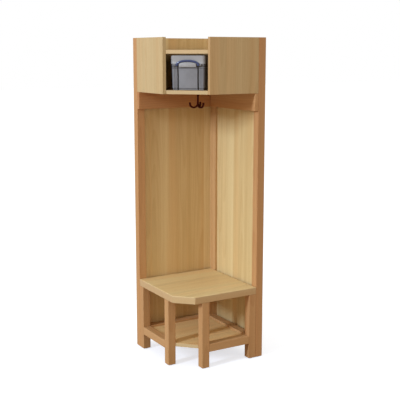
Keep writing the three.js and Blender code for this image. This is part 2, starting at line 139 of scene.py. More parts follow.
def wood(name, light, dark, stave, streaks, rings):
    """Lacquered beech: growth rings, streaks, pores and rays, and glued staves if stave is a width."""
    s = Shader(name)
    grain = s.node("ShaderNodeAttribute", {}, output="Vector", attribute_name="grain")
    parts = s.tree.nodes.new("ShaderNodeSeparateXYZ")
    s.put(parts.inputs[0], grain)
    along, across, through = parts.outputs

    board_tone = 0.5
    seam = 0.0
    shift = 0.0
    if stave:
        place = s.math("DIVIDE", across, stave)
        number = s.math("FLOOR", place)
        toss = s.node("ShaderNodeTexWhiteNoise", {"W": number}, noise_dimensions="1D")
        board_tone = toss
        shift = s.math("MULTIPLY", number, STAVE_JUMP)
        edge = s.math("ABSOLUTE", s.math("SUBTRACT", s.math("FRACT", place), 0.5))
        seam = s.step(edge, 0.5 - GLUE_LINE / stave, 0.5)
        centred = s.math("MULTIPLY", s.math("SUBTRACT", s.math("FRACT", place), toss), stave)
    else:
        centred = s.math("SUBTRACT", across, 0.015)

    moved = s.node("ShaderNodeCombineXYZ", {0: along, 1: s.math("ADD", across, shift), 2: through})
    # Rings lie around a pith that is below the board; slow noise along the grain makes cathedrals.
    wander = s.noise(s.scaled(moved, (1.1, 7.0, 7.0)), detail=1.5)
    depth = s.math("ADD", s.math("ADD", through, PITH_DEPTH), s.math("MULTIPLY", wander, 0.05))
    squares = s.math("ADD", s.math("MULTIPLY", centred, centred), s.math("MULTIPLY", depth, depth))
    phase = s.math("FRACT", s.math("DIVIDE", s.math("SQRT", squares), RING_STEP))
    late_wood = s.math("MULTIPLY", s.step(phase, 0.35, 0.92), s.step(phase, 1.0, 0.93))
    broad = s.noise(s.scaled(moved, (0.45, 26.0, 26.0)), detail=2.5, roughness=0.55)
    fibre = s.noise(s.scaled(moved, (9.0, 520.0, 520.0)), detail=2.0)
    pores = s.step(s.noise(s.scaled(moved, (240.0, 2600.0, 2600.0)), detail=0.0), 0.63, 0.74)
    flecks = s.scaled(s.shifted(moved, (3.0, 5.0, 7.0)), (420.0, 900.0, 420.0))
    rays = s.step(s.noise(flecks, detail=0.0), 0.66, 0.72)

    tone = s.math("MULTIPLY", s.math("SUBTRACT", broad, 0.5), 2.2 * streaks)
    tone = s.math("ADD", tone, s.math("MULTIPLY", s.math("SUBTRACT", board_tone, 0.5), 0.55 * streaks))
    tone = s.math("ADD", tone, s.math("MULTIPLY", late_wood, rings * 0.5))
    tone = s.math("ADD", tone, s.math("MULTIPLY", s.math("SUBTRACT", fibre, 0.5), 0.35))
    tone = s.math("ADD", tone, 0.42, clamp=True)
    colour = s.mix(tone, light, dark)
    # Each board has its own tone: a positive value is a darker, redder one. On the cabinet's bottom and
    # the back hook rail the darker, redder tone is painted shade, for the reddish shade under the cabinet.
    tone_and_shade = s.node("ShaderNodeAttribute", {}, output="Fac", attribute_name="tone_and_shade")
    gain = s.shifted(s.scaled(TONE_AND_SHADE_SHIFT, tone_and_shade), (1.0, 1.0, 1.0))
    colour = s.mix(1.0, colour, gain, blend="MULTIPLY")
    # Slow drifts between a yellower and a pinker beech.
    hue = s.noise(s.scaled(s.shifted(moved, (11.0, 2.0, 4.0)), (0.5, 14.0, 14.0)), detail=1.0)
    pinker = s.mix(1.0, colour, (1.03, 0.955, 0.9), blend="MULTIPLY")
    colour = s.mix(s.step(hue, 0.35, 0.7), colour, pinker)
    darker = s.mix(1.0, colour, (0.60, 0.46, 0.36), blend="MULTIPLY")
    colour = s.mix(s.math("MULTIPLY", pores, 0.45), colour, darker)
    colour = s.mix(s.math("MULTIPLY", rays, 0.10), colour, darker)
    colour = s.mix(s.math("MULTIPLY", seam, 0.25), colour, darker)
    # Handled arrises are a little rubbed and greyer.
    rubbed = s.node("ShaderNodeAttribute", {}, output="Fac", attribute_name="arris")
    patches = s.noise(s.scaled(moved, (40.0, 60.0, 60.0)), detail=3.0)
    rub = s.math("MULTIPLY", rubbed, s.step(patches, 0.42, 0.66))
    colour = s.mix(s.math("MULTIPLY", rub, 0.30), colour, darker)

    smears = s.noise(s.scaled(moved, (5.0, 11.0, 11.0)), detail=3.0, roughness=0.6)
    roughness = s.math("ADD", s.between(smears, 0.36, 0.52), s.math("MULTIPLY", pores, 0.18))
    height = s.math("SUBTRACT", s.math("MULTIPLY", fibre, 0.35), s.math("MULTIPLY", pores, 0.8))
    height = s.math("SUBTRACT", height, s.math("MULTIPLY", seam, 0.8))
    height = s.math("ADD", height, s.math("MULTIPLY", late_wood, 0.25))
    return s.finish(
        Base_Color=colour,
        Roughness=roughness,
        Normal=s.bump(height, 0.00012, 0.55),
        Specular_IOR_Level=0.35,
        Coat_Weight=0.12,
        Coat_Roughness=0.28,
    )


def metal(name, colour, worn, roughness, metallic=1.0):
    """Metal with fine scratches, smudges and a few rubbed spots."""
    s = Shader(name)
    place = s.node("ShaderNodeTexCoord", {}, output="Object")
    smudge = s.noise(place, scale=90.0, detail=4.0, roughness=0.65)
    scratch = s.noise(s.scaled(place, (260.0, 260.0, 2600.0)), detail=2.0)
    spots = s.step(s.noise(place, scale=420.0, detail=3.0), 0.60, 0.72)
    base = s.mix(smudge, colour, [c * 0.8 for c in colour])
    base = s.mix(s.math("MULTIPLY", spots, 0.6), base, worn)
    rough = s.between(smudge, roughness - 0.1, roughness + 0.12)
    rough = s.math("ADD", rough, s.math("MULTIPLY", spots, 0.1))
    height = s.math("ADD", s.math("MULTIPLY", smudge, 0.6), s.math("MULTIPLY", scratch, 0.3))
    return s.finish(
        Base_Color=base,
        Metallic=metallic,
        Roughness=rough,
        Normal=s.bump(height, 0.00008, 0.5),
    )


def plastic(name, colour, roughness, coat=0.0, transmission=0.0):
    """Moulded plastic: orange peel, cloudy tone, scuffs, and painted shade read from a mesh attribute."""
    s = Shader(name)
    place = s.node("ShaderNodeTexCoord", {}, output="Object")
    cloud = s.noise(place, scale=28.0, detail=3.0, roughness=0.6)
    peel = s.noise(place, scale=900.0, detail=2.0)
    scuff = s.step(s.noise(s.scaled(place, (160.0, 160.0, 900.0)), detail=3.0, roughness=0.7), 0.60, 0.72)
    light = [min(c * 1.07, 1.0) for c in colour]
    dark = [c * 0.92 for c in colour]
    base = s.mix(s.step(cloud, 0.3, 0.7), dark, light)
    base = s.mix(s.math("MULTIPLY", scuff, 0.25), base, [min(c * 1.3 + 0.02, 1.0) for c in colour])
    painted_shade = s.node("ShaderNodeAttribute", {}, output="Fac", attribute_name="painted_shade")
    # Painted shade: where the attribute is set, the colour is made much darker, in grooves and under ribs.
    base = s.mix(s.math("MULTIPLY", painted_shade, 0.85), base, [c * 0.12 for c in colour])
    rough = s.between(cloud, roughness - 0.06, roughness + 0.08)
    rough = s.math("ADD", rough, s.math("MULTIPLY", scuff, 0.14))
    height = s.math("ADD", s.math("MULTIPLY", peel, 0.5), s.math("MULTIPLY", scuff, 0.25))
    return s.finish(
        Base_Color=base,
        Roughness=rough,
        Normal=s.bump(height, 0.00006, 0.45),
        Coat_Weight=coat,
        Transmission_Weight=transmission,
        IOR=1.49,
    )


SOLID = "solid_beech"
PANEL = "wall_panel_beech"
BOARD = "board_beech"
SEAT = "seat_beech"
SHELF = "shelf_beech"
WOODS = {
    SOLID: wood(SOLID, srgb(210, 169, 117), srgb(178, 129, 80), None, 0.42, 0.4),
    PANEL: wood(PANEL, srgb(230, 209, 155), srgb(199, 167, 110), 0.104, 0.5, 0.35),
    BOARD: wood(BOARD, srgb(212, 188, 141), srgb(183, 153, 104), 0.09, 0.38, 0.3),
    SEAT: wood(SEAT, srgb(235, 213, 158), srgb(202, 172, 116), 0.074, 0.4, 0.35),
    SHELF: wood(SHELF, srgb(252, 222, 160), srgb(226, 186, 122), 0.088, 0.4, 0.3),
}
BAND = wood("edge_band", srgb(210, 181, 135), srgb(188, 154, 106), None, 0.35, 0.12)
BRONZE = metal("dark_bronze", srgb(74, 14, 6), srgb(118, 42, 24), 0.38, metallic=0.8)
ZINC = metal("zinc_steel", srgb(176, 178, 180), srgb(120, 120, 118), 0.34)
TUB = plastic("tub_plastic", srgb(150, 151, 154), 0.32, transmission=0.25)
LID = plastic("lid_plastic", srgb(159, 158, 156), 0.38)
CLIP = plastic("clip_plastic", srgb(52, 64, 102), 0.3, coat=0.2)
GLIDE = plastic("glide_plastic", srgb(52, 48, 45), 0.55)


# ---------------------------------------------------------------- mesh helpers
def add_piece(name, mesh, body, replaced, materials):
    """Puts a mesh in the scene as a piece that rides on a body and stands for CAD nodes."""
    piece = bpy.data.objects.new(name, mesh)
    bpy.context.scene.collection.objects.link(piece)
    for material in materials:
        mesh.materials.append(material)
    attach(piece, body)
    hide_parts(*replaced)


def to_mesh(bm, name):
    bmesh.ops.recalc_face_normals(bm, faces=bm.faces)
    mesh = bpy.data.meshes.new(name)
    bm.to_mesh(mesh)
    bm.free()
    return mesh


def footprint(node):
    """The outline of a CAD node seen from above, counter-clockwise, with no points inside an edge."""
    points = sorted({(round(v.co.x, 5), round(v.co.y, 5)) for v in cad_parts[node].data.vertices})

    def chain(ordered):
        kept = []
        for p in ordered:
            while len(kept) > 1:
                (ax, ay), (bx, by) = kept[-2], kept[-1]
                if (bx - ax) * (p[1] - ay) - (by - ay) * (p[0] - ax) > 1e-9:
                    break
                kept.pop()
            kept.append(p)
        return kept[:-1]

    return chain(points) + chain(points[::-1])


def skinned(bm, pairs):
    """Walls of quads between pairs of equal loops."""
    for below, above in pairs:
        for i in range(len(below)):
            j = (i + 1) % len(below)
            bm.faces.new((below[i], below[j], above[j], above[i]))


def capped(bm, loops):
    """A closed skin through loops, with the first and the last one filled."""
    skinned(bm, zip(loops, loops[1:]))
    bm.faces.new(loops[0][::-1])
    bm.faces.new(loops[-1])
    return bm


def slab(outline, low, high):
    """A closed prism over an outline."""
    bm = bmesh.new()
    rings = [[bm.verts.new((x, y, z)) for x, y in outline] for z in (low, high)]
    bm.faces.new(rings[0][::-1])
    bm.faces.new(rings[1])
    skinned(bm, [rings])
    return bm


def rod(radius, start, direction, length, sides=32):
    """A closed round bar from a point along a direction."""
    turn = Vector((0, 0, 1)).rotation_difference(Vector(direction)).to_matrix().to_4x4()
    middle = Vector(start) + Vector(direction) * (length / 2)
    bm = bmesh.new()
    bmesh.ops.create_cone(
        bm,
        cap_ends=True,
        segments=sides,
        radius1=radius,
        radius2=radius,
        depth=length,
        matrix=Matrix.Translation(middle) @ turn,
    )
    return bm


def combined(mesh, parts, operation):
    """Cuts closed bmeshes from a mesh, or joins them to it, and returns the result as a new mesh."""
    scene = bpy.context.scene.collection
    target = bpy.data.objects.new("boolean_target", mesh)
    tool = bpy.data.objects.new("boolean_tool", to_mesh(joined(*parts), "boolean_tool"))
    scene.objects.link(target)
    scene.objects.link(tool)
    change = target.modifiers.new("change", "BOOLEAN")
    change.operation = operation
    change.solver = "EXACT"
    change.use_self = True
    change.object = tool
    graph = bpy.context.evaluated_depsgraph_get()
    made = bpy.data.meshes.new_from_object(target.evaluated_get(graph))
    bpy.data.objects.remove(target)
    bpy.data.objects.remove(tool)
    return cleaned(made)


def cut_away(mesh, cutters):
    return combined(mesh, cutters, "DIFFERENCE")


def melted_on(mesh, parts):
    return combined(mesh, parts, "UNION")


def cleaned(mesh):
    """Takes out the slivers that a boolean leaves."""
    bm = bmesh.new()
    bm.from_mesh(mesh)
    bmesh.ops.dissolve_degenerate(bm, edges=bm.edges, dist=0.0005 * MM)
    bm.to_mesh(mesh)
    bm.free()
    return mesh


def joined(*parts):
    """Several bmeshes as one."""
    bm = bmesh.new()
    for part in parts:
        mesh = to_mesh(part, "part")
        bm.from_mesh(mesh)
        bpy.data.meshes.remove(mesh)
    return bm


def smooth_by_angle(mesh, degrees=32):
    """Smooth shading, with creases where two faces meet at more than the angle."""
    bm = bmesh.new()
    bm.from_mesh(mesh)
    for face in bm.faces:
        face.smooth = True
    limit = math.radians(degrees)
    for edge in bm.edges:
        edge.smooth = len(edge.link_faces) == 2 and edge.calc_face_angle(0.0) < limit
    bm.to_mesh(mesh)
    bm.free()
    return mesh


def rounded(bm, edges, width, segments):
    """Rounds some edges of a closed bmesh."""
    bmesh.ops.bevel(
        bm,
        geom=edges,
        offset=width,
        segments=segments,
        profile=0.5,
        affect="EDGES",
        clamp_overlap=True,
    )


def softened(bm, width, segments=3):
    """Rounds every edge of a closed bmesh."""
    rounded(bm, bm.edges[:], width, segments)
    return bm


# ---------------------------------------------------------------- timber
SLACK = 0.3 * MM  # room round a panel's edge in its groove
BOLT_HOLE = 3.6 * MM  # radius
COUNTERBORE = 7.6 * MM  # radius
PALE_STRIP = -0.45  # tone value of the edge band on the cut-off corners
AXES = {"x": Vector((1, 0, 0)), "y": Vector((0, 1, 0)), "z": Vector((0, 0, 1))}
board_count = 0


def grain_frame(along, face):
    """The board's own axes: along the grain, across its face, and through it."""
    return AXES[along], AXES[face].cross(AXES[along]), AXES[face]


def paint_grain(mesh, outline, along, face, origin, banded, tone_and_shade):
    """Writes the grain, arris and tone attributes, and puts edge bands on banded boards. The tone also
    carries painted shade.
    """
    global board_count
    board_count += 1
    toss = random.Random(board_count)
    lengthwise, across, through = grain_frame(along, face)
    start = Vector((toss.uniform(2, 9), 0, toss.uniform(0, 0.03)))
    side_normals = []
    for i, (x0, y0) in enumerate(outline):
        x1, y1 = outline[(i + 1) % len(outline)]
        side_normals.append(Vector((y1 - y0, x0 - x1, 0)).normalized())
    faces = [*side_normals, Vector((0, 0, 1)), Vector((0, 0, -1))]
    mesh.attributes.new("grain", "FLOAT_VECTOR", "CORNER")
    mesh.attributes.new("arris", "FLOAT", "CORNER")
    mesh.attributes.new("tone_and_shade", "FLOAT", "CORNER")
    grain, arris, tones_and_shades = mesh.attributes["grain"], mesh.attributes["arris"], mesh.attributes["tone_and_shade"]
    tone_and_shade += toss.uniform(-0.1, 0.1)
    up = Vector((0, 0, 1))
    for polygon in mesh.polygons:
        flat = max(polygon.normal.dot(n) for n in faces) > 0.999
        upright = abs(polygon.normal.z) < 0.4
        polygon.use_smooth = not flat
        edge_strip = banded and upright
        diagonal = min(abs(polygon.normal.x), abs(polygon.normal.y)) > 0.3
        if edge_strip:
            polygon.material_index = 1
            run = up.cross(polygon.normal).normalized()
        for corner in polygon.loop_indices:
            place = mesh.vertices[mesh.loops[corner].vertex_index].co - origin
            if edge_strip:
                value = start + Vector((place.dot(run), place.z, place.dot(polygon.normal)))
            else:
                axes = (lengthwise, across, through)
                value = start + Vector([place.dot(axis) for axis in axes])
            grain.data[corner].vector = value
            arris.data[corner].value = 0.0 if flat else 1.0
            tones_and_shades.data[corner].value = PALE_STRIP if edge_strip and diagonal else tone_and_shade


def timber(node, kind, along, face, bevel, top_bevel=0, banded=False, holes=(), seam=0, tone_and_shade=0):
    """A board or beam in the place of a CAD node, with rounded arrises and grain along one axis.

    bevel is in millimetres, and top_bevel, if given, is the same for the upper edges. seam moves the
    first glue line across the board. The tone value is how much darker and redder the board is than its
    kind; on boards under the cabinet it is painted shade.
    """
    low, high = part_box(node)
    outline = footprint(node)
    bm = slab(outline, low.z, high.z)
    if top_bevel:
        upper = [e for e in bm.edges if min(v.co.z for v in e.verts) > high.z - MM]
        rounded(bm, upper, top_bevel * MM, 6)
        sharp = [e for e in bm.edges if e.calc_face_angle() > math.radians(35)]
        rounded(bm, sharp, bevel * MM, 3)
    else:
        softened(bm, bevel * MM)
    mesh = to_mesh(bm, node + "_wood")
    if holes:
        mesh = cut_away(mesh, holes)
    lengthwise, across, through = grain_frame(along, face)
    corner = Vector([low[i] if (lengthwise + across + through)[i] > 0 else high[i] for i in range(3)])
    paint_grain(mesh, outline, along, face, corner - across * seam, banded, tone_and_shade)
    materials = [WOODS[kind], BAND] if banded else [WOODS[kind]]
    add_piece(node + "_wood", mesh, "locker_frame", [node], materials)


def overlap(node_a, node_b):
    """Whether the boxes of two CAD nodes meet."""
    (low_a, high_a), (low_b, high_b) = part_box(node_a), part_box(node_b)
    return all(low_a[i] < high_b[i] and low_b[i] < high_a[i] for i in range(3))


def panel_groove(panel):
    """A box a little larger than a wall panel, past the posts' tops, which cuts the groove for its edge."""
    low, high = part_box(panel)
    x0, y0, x1, y1 = low.x - SLACK, low.y - SLACK, high.x + SLACK, high.y + SLACK
    return slab([(x0, y0), (x1, y0), (x1, y1), (x0, y1)], low.z - SLACK, high.z + MM)


def bolt_holes(post, bolt):
    """A bolt's hole through a post or leg, and a counterbore where the bolt's head lies in it."""
    low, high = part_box(bolt)
    size = high - low
    axis = 1 if size.y > size.x else 0
    start = (low + high) / 2
    start[axis] = high[axis] + MM
    inward = [-1 if i == axis else 0 for i in range(3)]
    holes = [rod(BOLT_HOLE, start, inward, size[axis] + 2 * MM, sides=32)]
    post_low, post_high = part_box(post)
    if post_low[axis] < high[axis] < post_high[axis]:
        holes.append(rod(COUNTERBORE, start, inward, 5.7 * MM, sides=40))
    return holes


def joinery(post):
    """What is cut out of a post or leg: the grooves of its panels and the holes of its bolts."""
    panels = ("back_wall_panel", "side_wall_panel")
    cutters = [panel_groove(panel) for panel in panels if overlap(post, panel)]
    for node in sorted(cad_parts):
        if "_bolt_" in node and overlap(post, node):
            cutters += bolt_holes(post, node)
    return cutters


def hook_screw_holes():
    """The holes in the cabinet's bottom board for the screws of the hook's base."""
    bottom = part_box("cabinet_bottom")[0].z
    holes = []
    for number in (1, 2, 3):
        low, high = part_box(f"hook_screw_{number}")
        start = ((low.x + high.x) / 2, (low.y + high.y) / 2, bottom - MM)
        holes.append(rod(1.8 * MM, start, (0, 0, 1), high.z - bottom + 2 * MM, sides=20))
    return holes


def make_walls():
    tones_and_shades = {
        "back_wall_corner": -0.5,
        "back_wall_end": 0.15,
        "side_wall_rear": -0.2,
        "side_wall_front": 0.3,
    }
    for place, tone_and_shade in tones_and_shades.items():
        post = place + "_post"
        face = "y" if place.startswith("back") else "x"
        timber(post, SOLID, "z", face, bevel=1.5, holes=joinery(post), tone_and_shade=tone_and_shade)
    timber("back_wall_panel", PANEL, "z", "y", bevel=0.8, seam=0.055, tone_and_shade=0.2)
    timber("side_wall_panel", PANEL, "z", "x", bevel=0.8, seam=0.041)


def make_bench():
    for node in sorted(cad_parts):
        if node.startswith("bench_leg"):
            timber(node, SOLID, "z", "y", bevel=1.5, holes=joinery(node))
    for side, along in (("left", "y"), ("right", "x"), ("back", "x"), ("side", "y")):
        timber(f"lower_rail_{side}", SOLID, along, "z", bevel=1.5)
        timber(f"shelf_cleat_{side}", SOLID, along, "z", bevel=1.0)
    timber("shoe_shelf", SHELF, "x", "z", bevel=1.0, banded=True)
    timber("seat_board", SEAT, "x", "z", bevel=2.0, top_bevel=5.0, banded=True)


def make_cabinet():
    timber("cabinet_side_left", BOARD, "z", "x", bevel=0.8)
    timber("cabinet_side_right", BOARD, "z", "y", bevel=0.8)
    holes = hook_screw_holes()
    # Painted shade: the cabinet's bottom board gets a darker, redder tone for the reddish shade around it.
    timber("cabinet_bottom", BOARD, "x", "z", bevel=0.8, banded=True, holes=holes, tone_and_shade=0.4)
    timber("cabinet_top", BOARD, "x", "z", bevel=0.8, banded=True)
    # Painted shade: the back hook rail, in the shade under the cabinet, gets a darker, redder tone.
    timber("hook_rail_back", SOLID, "x", "y", bevel=1.5, tone_and_shade=0.65)
    timber("hook_rail_side", SOLID, "y", "x", bevel=1.5)


make_walls()
make_bench()
make_cabinet()


# ---------------------------------------------------------------- storage box
def crate_place():
    """The box's own frame: x across, y into the cabinet from the lid's front, z up from its base."""
    turn = Matrix.Rotation(DOWN_DIAGONAL, 4, "Z")
    places = [turn.inverted() @ v.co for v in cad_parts["box_lid"].data.vertices]
    # The lid's body is the widest thing on its sides; its tongues stand out in front and behind.
    middle_x = (min(p.x for p in places) + max(p.x for p in places)) / 2
    middle_y = (min(p.y for p in places) + max(p.y for p in places)) / 2
    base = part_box("box_tub")[0].z
    return turn @ Matrix.Translation((middle_x, middle_y - BOX_DEPTH / 2, base))


BOX_WIDTH = 172 * MM
BOX_DEPTH = 300 * MM
BOX_HEIGHT = 163 * MM
SKIRT = 40 * MM  # height of the lid's skirt
PIVOT = Vector((0, -4.5 * MM, 118 * MM))  # hinge axis of the front clip, in the box's frame
PANEL_HALF = 45.5 * MM  # half the width of the tub's raised end panel
FLUTE = 6.5 * MM  # width of the groove on each side of it
RIBS = (56, 60.5, 65)  # places of the thin upright ribs beside each groove, in millimetres
CORNER = 17 * MM  # radius of the lid's upright corners
UNDER_LID = 119 * MM  # the tub's grooves and ribs end here
BOSS_PLACE = 62.7 * MM  # middle of a hinge boss, from the box's middle
PIN_RADIUS = 1.8 * MM
CLIP_HALF = 58 * MM  # half the width of the clip's arch, outside
CLIP_RISE = 24 * MM
CLIP_FOOT = 52 * MM  # middle of a foot, from the box's middle
TONGUE_HALF = 41.5 * MM
TONGUE_BOTTOM = 108.4 * MM
crate = crate_place()


def end_stations():
    """Places across an end of the tub, and how far the wall stands back there, from 0 to 1."""
    groove_end = PANEL_HALF + FLUTE
    right = [
        (0.0, 0.0),
        (PANEL_HALF - 3 * MM, 0.0),
        (PANEL_HALF - 0.3 * MM, 0.06),
        (PANEL_HALF + 0.9 * MM, 0.92),
        (PANEL_HALF + 2 * MM, 1.0),
        (groove_end - 2 * MM, 1.0),
        (groove_end - 0.9 * MM, 0.92),
        (groove_end + 0.3 * MM, 0.22),
    ]
    for rib in RIBS:
        for offset, depth in ((-1.3, 0.2), (-0.6, 0.06), (0.6, 0.06), (1.3, 0.2)):
            right.append(((rib + offset) * MM, depth))
    return [(-x, depth) for x, depth in right[:0:-1]] + right


def crate_ring(inset, flute, radius, corner_steps=7):
    """A closed outline of the box, inset from the lid's outside, with end grooves of the given depth."""
    half = BOX_WIDTH / 2 - inset
    low, high = inset, BOX_DEPTH - inset
    stations = end_stations()
    # Small rings squeeze the stations together, so that they stay between the corners.
    squeeze = min(1.0, (half - radius) * 0.98 / stations[-1][0])
    points = []
    corners = ((half, low, -90), (half, high, 0), (-half, high, 90), (-half, low, 180))
    for index, (x, y, start) in enumerate(corners):
        centre_x = x - math.copysign(radius, x)
        centre_y = y + (radius if y == low else -radius)
        for i in range(corner_steps + 1):
            angle = math.radians(start + 90 * i / corner_steps)
            points.append((centre_x + radius * math.cos(angle), centre_y + radius * math.sin(angle)))
        if index == 1:
            points += [(-station * squeeze, high - flute * depth) for station, depth in stations]
        if index == 3:
            points += [(station * squeeze, low + flute * depth) for station, depth in stations]
    return points


def lofted(levels):
    """A closed skin through (outline, height) levels; the first and last are capped."""
    bm = bmesh.new()
    rings = [[bm.verts.new((x, y, z)) for x, y in outline] for outline, z in levels]
    return capped(bm, rings)


def tub_profile():
    """The tub's wall, up the outside, over the rim and down the inside, as (inset, height, flute)."""
    top = BOX_HEIGHT - 3.4 * MM
    base, rim, wall = 7.6 * MM, 2.6 * MM, 2.2 * MM
    deep = 8.0 * MM

    def slope(z):
        return base + (rim - base) * z / top

    outside = [
        (base + 4 * MM, 0.0, 0.0),
        (base + 1.2 * MM, 0.4 * MM, deep * 0.5),
        (base + 0.3 * MM, 1.6 * MM, deep * 0.8),
        (slope(5 * MM), 5 * MM, deep),
        (slope(6 * MM) + 1.6 * MM, 6.2 * MM, deep),
        (slope(9 * MM) + 1.6 * MM, 8.4 * MM, deep),
        (slope(10 * MM), 9.6 * MM, deep),
    ]
    outside += [(slope(z * MM), z * MM, deep) for z in range(20, 101, 10)]
    # Two thin ribs run round the tub under the lid.
    for z in (104.5, 115.5):
        outside += [
            (slope(z * MM), (z - 1.4) * MM, deep),
            (slope(z * MM) - 2.0 * MM, (z - 0.9) * MM, deep * 0.9),
            (slope(z * MM) - 2.0 * MM, (z + 0.9) * MM, deep * 0.9),
            (slope(z * MM), (z + 1.4) * MM, deep),
        ]
    outside += [(slope(120 * MM), 120 * MM, deep * 0.7), (rim, 130 * MM, 0.0)]
    outside += [(rim, top - 0.6 * MM, 0.0)]
    rim_top = [(rim + 0.6 * MM, top, 0.0), (rim + wall - 0.6 * MM, top, 0.0)]
    inside = [(rim + wall, top - 0.6 * MM, 0.0), (rim + wall, 130 * MM, 0.0)]
    inside += [(slope(z * MM) + wall, z * MM, deep) for z in (118, 60, 8)]
    inside += [(base + wall + 3 * MM, wall, deep * 0.4)]
    return outside + rim_top + inside


def tub_painted_shade(place):
    """Painted shade on the tub at a place: dark in the end grooves and under the two ribs, a little less at
    the base step, and slightly darker beside the grooves away from the thin ribs.
    """
    near_end = min(place.y, BOX_DEPTH - place.y) < 30 * MM
    fluted = near_end and place.z < UNDER_LID
    x = abs(place.x)
    if fluted and PANEL_HALF + 0.5 * MM < x < PANEL_HALF + FLUTE - 0.5 * MM:
        return 1.0
    for height, dark in ((103.1, 1.0), (114.1, 1.0), (6.2, 0.7), (8.4, 0.7)):
        if abs(place.z - height * MM) < 0.3 * MM:
            return dark
    between_ribs = all(abs(x - rib * MM) > 0.9 * MM for rib in RIBS)
    return 0.12 if fluted and x > PANEL_HALF + FLUTE and between_ribs else 0.0


def make_boss(side, y, away):
    """A rounded block that ends inside the tub's wall. side and away are -1 or 1, and away points out."""
    block = bmesh.new()
    size = (7.4 * MM, 10.6 * MM, 8.5 * MM)
    at = Matrix.Translation((side * BOSS_PLACE, y - away * 0.85 * MM, PIVOT.z))
    bmesh.ops.create_cube(block, size=1.0, matrix=at @ Matrix.Diagonal((*size, 1.0)))
    return softened(block, 1.2 * MM, 4)


def make_tub():
    """A tapered tub with grooved ends, two ribs under the lid, and a boss and a pin for each clip foot."""
    levels = []
    for inset, height, flute in tub_profile():
        levels.append((crate_ring(inset, flute, max(CORNER - inset, 4 * MM)), height))
    bm = lofted(levels)
    bosses = []
    pins = []
    for side in (-1, 1):
        for y, away in ((0.0, -1), (BOX_DEPTH, 1)):
            bosses.append(make_boss(side, y, away))
            pin_start = (side * 64 * MM, y + away * 4.5 * MM, PIVOT.z)
            pins.append(rod(PIN_RADIUS, pin_start, (-side, 0, 0), 18 * MM, sides=24))
    bmesh.ops.triangulate(bm, faces=bm.faces)
    mesh = melted_on(to_mesh(bm, "box_tub_plastic"), bosses)
    mesh = melted_on(mesh, pins)
    # Painted shade: the grooves, the ribs' undersides and the base step are darkened in the colour.
    painted_shade = mesh.attributes.new("painted_shade", "FLOAT", "POINT")
    for vertex in mesh.vertices:
        painted_shade.data[vertex.index].value = tub_painted_shade(vertex.co)
    mesh.transform(crate)
    smooth_by_angle(mesh, 34)
    add_piece("box_tub_plastic", mesh, "storage_box", ["box_tub"], [TUB])


def arch(x, half, rise):
    """Height of a flattened arch at a place across it."""
    return rise * math.sqrt(max(1 - abs(x / half) ** 2.2, 0.0))


def lid_profile():
    """The lid's outside, from its lower edge up and over the top, and its underside, as (inset, height)."""
    low, top, edge = BOX_HEIGHT - SKIRT, BOX_HEIGHT, 5 * MM
    outside = [(2.2 * MM, low + 0.3 * MM), (1.9 * MM, low), (0.3 * MM, low), (0.0, low + 0.4 * MM)]
    outside += [(0.0, low + 3.0 * MM), (0.7 * MM, low + 4.2 * MM), (0.7 * MM, low + 12 * MM)]
    outside += [(0.5 * MM, top - edge - 4 * MM)]
    for step in range(7):
        angle = math.radians(15 * step)
        outside.append((0.4 * MM + edge * (1 - math.cos(angle)), top - edge + edge * math.sin(angle)))
    for inset, drop in ((11, 0.0), (12.4, 0.5), (13.4, 1.8), (26, 1.8), (27, 1.3), (34, 1.3)):
        outside.append((inset * MM, top - drop * MM))
    underside = [(34 * MM, top - 3.2 * MM), (6 * MM, top - 3.2 * MM)]
    underside += [(2.5 * MM, top - 6 * MM), (2.2 * MM, low + 14 * MM)]
    return outside, underside


def make_tongue(y, away):
    """A plate that hangs from the lid's skirt inside a clip's arch. away points out of the box."""
    stations = [TONGUE_HALF * math.cos(math.pi * i / 24) for i in range(25)]
    outline = [(-TONGUE_HALF, TONGUE_BOTTOM), (TONGUE_HALF, TONGUE_BOTTOM)]
    outline += [(x, PIVOT.z + arch(x, 44.6 * MM, 12.6 * MM)) for x in stations]
    tongue = slab(outline, -2.0 * MM, 5.0 * MM)
    tongue.transform(Matrix(((1, 0, 0, 0), (0, 0, away, y), (0, 1, 0, 0), (0, 0, 0, 1))))
    bmesh.ops.recalc_face_normals(tongue, faces=tongue.faces)
    return softened(tongue, 0.9 * MM, 3)


def make_lid():
    """A skirted lid with round corners, a raised border on top, and a tongue inside each clip."""
    outside, underside = lid_profile()
    bm = bmesh.new()
    loops = []
    for inset, z in outside + underside:
        ring = crate_ring(inset, 0.0, max(CORNER - inset, 3 * MM))
        loops.append([bm.verts.new((x, y, z)) for x, y in ring])
    # The top and its underside are filled, and every other pair of loops is joined.
    top = len(outside) - 1
    turns = list(zip(loops, loops[1:] + loops[:1]))
    skinned(bm, turns[:top] + turns[top + 1 :])
    bm.faces.new(loops[top])
    bm.faces.new(loops[top + 1][::-1])
    tongues = [make_tongue(0.0, -1), make_tongue(BOX_DEPTH, 1)]
    mesh = melted_on(to_mesh(bm, "box_lid_plastic"), tongues)
    mesh.transform(crate)
    smooth_by_angle(mesh, 34)
    add_piece("box_lid_plastic", mesh, "storage_box", ["box_lid"], [LID])


def clip_sections():
    """Sections from one foot over the arch to the other, as (middle, outward, half height)."""
    sections = []
    count = 44
    for i in range(count + 1):
        x = CLIP_HALF * math.cos(math.pi * (1 - i / count))
        outer = Vector((x, 0, arch(x, CLIP_HALF, CLIP_RISE)))
        inner = Vector((outer.x * 46 / 58, 0, outer.z * 14 / 24))
        across = outer - inner
        sections.append(((outer + inner) / 2, across.normalized(), across.length / 2))
    ends = [(-1.5, 6.0), (-3.2, 5.6), (-4.2, 4.4)]
    feet = []
    for way in (-1, 1):
        outward = Vector((way, 0, 0))
        foot = [(outward * CLIP_FOOT + Vector((0, 0, z * MM)), outward, half * MM) for z, half in ends]
        feet.append(foot)
    return feet[0][::-1] + sections + feet[1]


